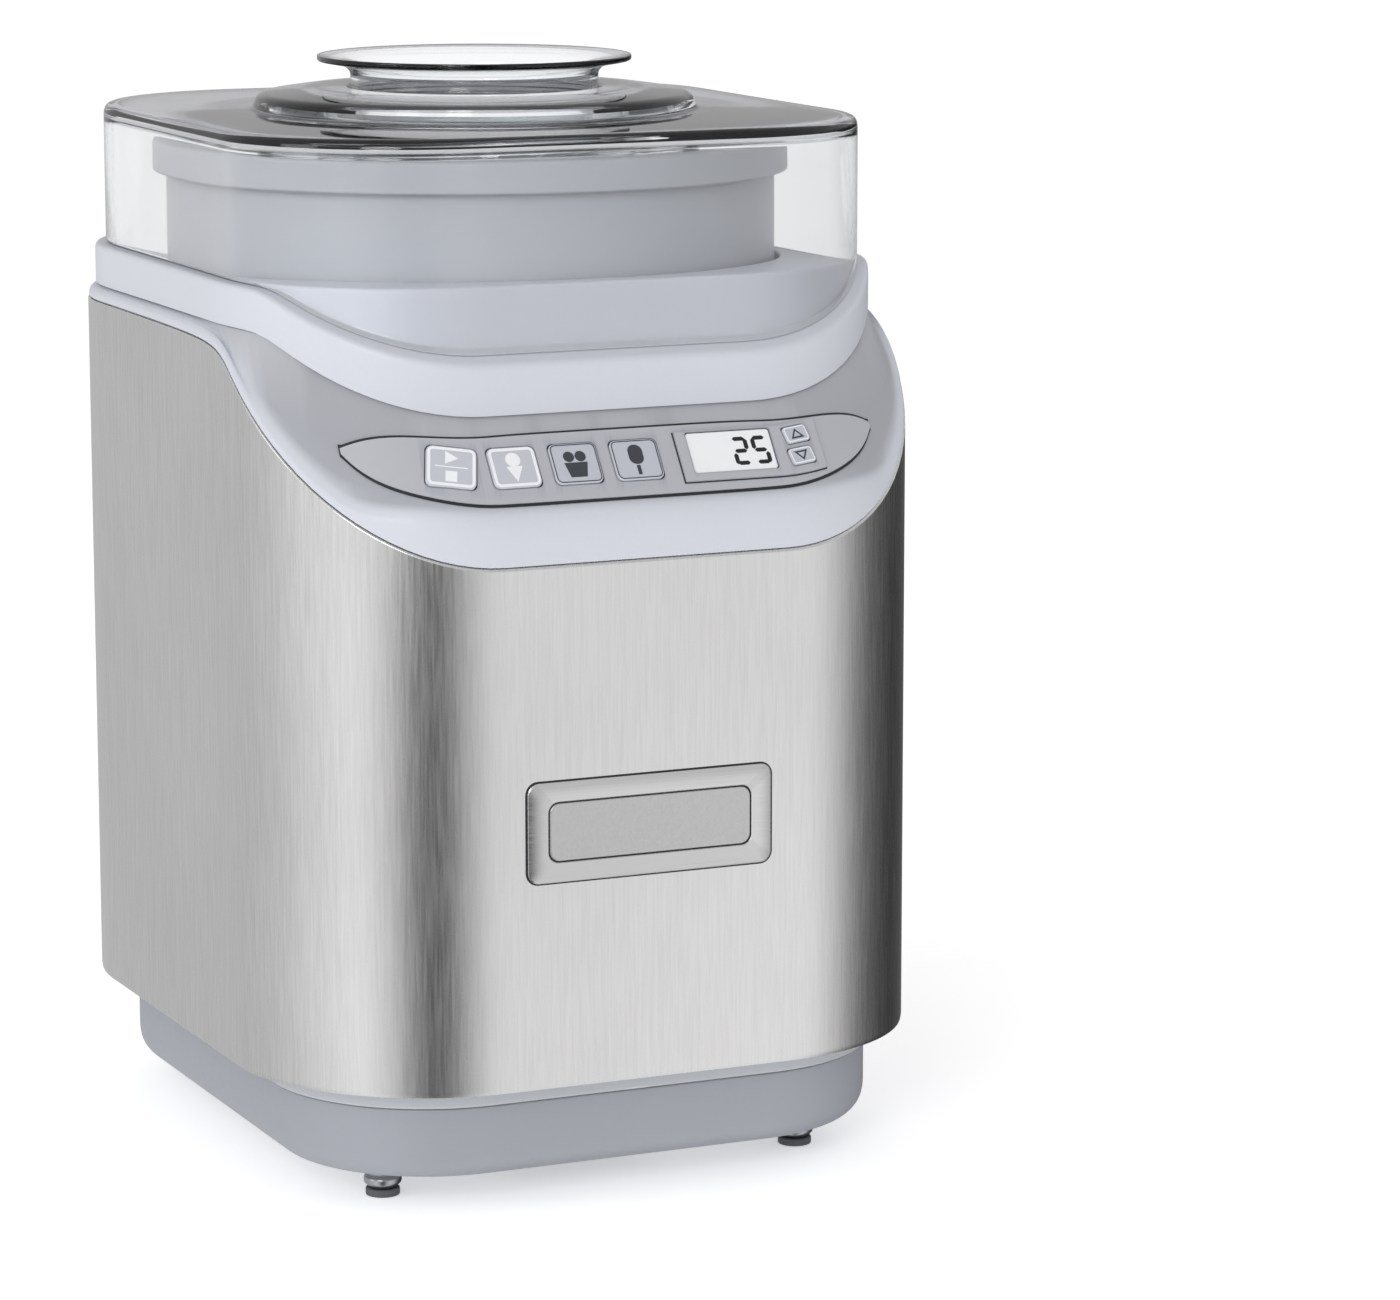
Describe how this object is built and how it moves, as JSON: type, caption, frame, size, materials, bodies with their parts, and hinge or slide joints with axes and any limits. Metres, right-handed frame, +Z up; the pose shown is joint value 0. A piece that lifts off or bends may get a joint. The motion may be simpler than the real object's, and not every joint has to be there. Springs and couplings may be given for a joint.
{
  "type": "ice cream maker",
  "caption": "Countertop ice cream maker: brushed metal body, sloped keypad and display, freezer bowl turned by a geared motor, still paddle, clear lid and ingredient cup.",
  "frame": {"origin": "on the surface it stands on, under the middle of the body", "axes": "+Z up, front with the keypad towards -Y, +X to the object's left side as it faces a user standing in front, which is the viewer's right"},
  "size_m": [0.186, 0.214, 0.29],
  "materials": {
    "stainless_wrap": "fine upright brushed grain",
    "housing_plastic": "satin",
    "collar_plastic": "satin",
    "plinth_plastic": "satin",
    "trim_plastic": "satin",
    "foot_metal": "satin",
    "foot_rubber": "matt",
    "badge_metal": "brushed along its length",
    "inlay_metal": "satin",
    "membrane_film": "satin film",
    "display_glass": "backlit liquid crystal",
    "lit_key": "satin, white outline",
    "grey_key": "satin, dark outline",
    "circuit_board": "solder mask",
    "black_plastic": "moulded",
    "plain_steel": "zinc plated",
    "lamination_steel": "stacked sheets",
    "bronze_bush": "sintered",
    "coil_winding": "enamelled wire",
    "gear_nylon": "moulded",
    "bowl_plastic": "satin",
    "bowl_aluminium": "spun",
    "coolant_gel": "gel",
    "paddle_plastic": "moulded",
    "clear_plastic": "clear, polished"
  },
  "bodies": {
    "base": {"foot_cup_1": "foot_metal", "foot_cup_2": "foot_metal", "foot_cup_3": "foot_metal", "foot_cup_4": "foot_metal", "foot_pad_1": "foot_rubber", "foot_pad_2": "foot_rubber", "foot_pad_3": "foot_rubber", "foot_pad_4": "foot_rubber", "plinth_tray": "plinth_plastic", "trim_frame": "trim_plastic", "metal_wrap": "stainless_wrap", "badge_plate": "badge_metal", "badge_inlay": "inlay_metal", "upper_housing": "housing_plastic", "deck_collar": "collar_plastic", "bowl_well": "collar_plastic", "cord_gland": "black_plastic", "control_membrane": "membrane_film", "display_bezel": "membrane_film", "display_window": "display_glass", "control_board": "circuit_board", "power_board": "circuit_board", "gearbox_plate": "plain_steel", "gearbox_cover": "black_plastic", "gearbox_screw_1": "plain_steel", "gearbox_screw_2": "plain_steel", "gearbox_screw_3": "plain_steel", "gearbox_screw_4": "plain_steel", "lower_bush": "bronze_bush", "upper_bush": "bronze_bush", "idler_axle": "plain_steel", "motor_stator": "lamination_steel", "motor_coil": "coil_winding", "motor_bracket_upper": "plain_steel", "motor_bracket_lower": "plain_steel"},
    "output_drive": {"output_gear": "gear_nylon", "output_shaft": "plain_steel", "drive_hub": "gear_nylon"},
    "idler": {"idler_gear": "gear_nylon"},
    "motor_spindle": {"motor_rotor": "lamination_steel", "motor_shaft": "plain_steel", "motor_pinion": "bronze_bush", "motor_fan": "black_plastic"},
    "bowl": {"bowl_outer_shell": "bowl_plastic", "bowl_coolant": "coolant_gel", "bowl_inner_liner": "bowl_aluminium"},
    "paddle": {"mixing_paddle": "paddle_plastic"},
    "lid": {"clear_lid": "clear_plastic"},
    "cup": {"ingredient_cup": "clear_plastic"},
    "start_stop_button": {"start_stop_key": "lit_key"},
    "ice_cream_button": {"ice_cream_key": "lit_key"},
    "gelato_button": {"gelato_key": "grey_key"},
    "sorbet_button": {"sorbet_key": "grey_key"},
    "time_up_button": {"time_up_key": "grey_key"},
    "time_down_button": {"time_down_key": "grey_key"}
  },
  "joints": [
    {"name": "drive_spin", "type": "hinge", "parent": "base", "child": "output_drive", "pos_m": [0, 0.00935, 0.09], "axis": [0, 0, 1], "continuous": true},
    {"name": "idler_spin", "type": "hinge", "parent": "base", "child": "idler", "pos_m": [-0.03076, -0.02141, 0.09], "axis": [0, 0, 1], "continuous": true},
    {"name": "motor_spin", "type": "hinge", "parent": "base", "child": "motor_spindle", "pos_m": [-0.00424, -0.04793, 0.09], "axis": [0, 0, 1], "continuous": true},
    {"name": "bowl_lift", "type": "slide", "parent": "output_drive", "child": "bowl", "axis": [0, 0, 1], "range_m": [0, 0.14]},
    {"name": "paddle_lift", "type": "slide", "parent": "base", "child": "paddle", "axis": [0, 0, 1], "range_m": [0, 0.3]},
    {"name": "lid_lift", "type": "slide", "parent": "base", "child": "lid", "axis": [0, 0, 1], "range_m": [0, 0.375]},
    {"name": "cup_lift", "type": "slide", "parent": "lid", "child": "cup", "axis": [0, 0, 1], "range_m": [0, 0.08]},
    {"name": "start_stop_press", "type": "slide", "parent": "base", "child": "start_stop_button", "axis": [0.0979, 0.7937, -0.6004], "range_m": [0, 0.0006], "stiffness_N_per_m": 400, "springref_m": -0.0005},
    {"name": "ice_cream_press", "type": "slide", "parent": "base", "child": "ice_cream_button", "axis": [0, 0.8006, -0.5992], "range_m": [0, 0.0006], "stiffness_N_per_m": 400, "springref_m": -0.0005},
    {"name": "gelato_press", "type": "slide", "parent": "base", "child": "gelato_button", "axis": [0, 0.8006, -0.5992], "range_m": [0, 0.0006], "stiffness_N_per_m": 400, "springref_m": -0.0005},
    {"name": "sorbet_press", "type": "slide", "parent": "base", "child": "sorbet_button", "axis": [0, 0.8006, -0.5992], "range_m": [0, 0.0006], "stiffness_N_per_m": 400, "springref_m": -0.0005},
    {"name": "time_up_press", "type": "slide", "parent": "base", "child": "time_up_button", "axis": [-0.0648, 0.7963, -0.6014], "range_m": [0, 0.0006], "stiffness_N_per_m": 400, "springref_m": -0.0005},
    {"name": "time_down_press", "type": "slide", "parent": "base", "child": "time_down_button", "axis": [-0.0624, 0.7964, -0.6015], "range_m": [0, 0.0006], "stiffness_N_per_m": 400, "springref_m": -0.0005}
  ],
  "couplings": [
    {"joint": "idler_spin", "follows": "drive_spin", "ratio": -4.8},
    {"joint": "motor_spin", "follows": "drive_spin", "ratio": 19.2},
    {"joint": "paddle_lift", "follows": "bowl_lift", "ratio": 2.11},
    {"joint": "lid_lift", "follows": "bowl_lift", "ratio": 2.64}
  ]
}
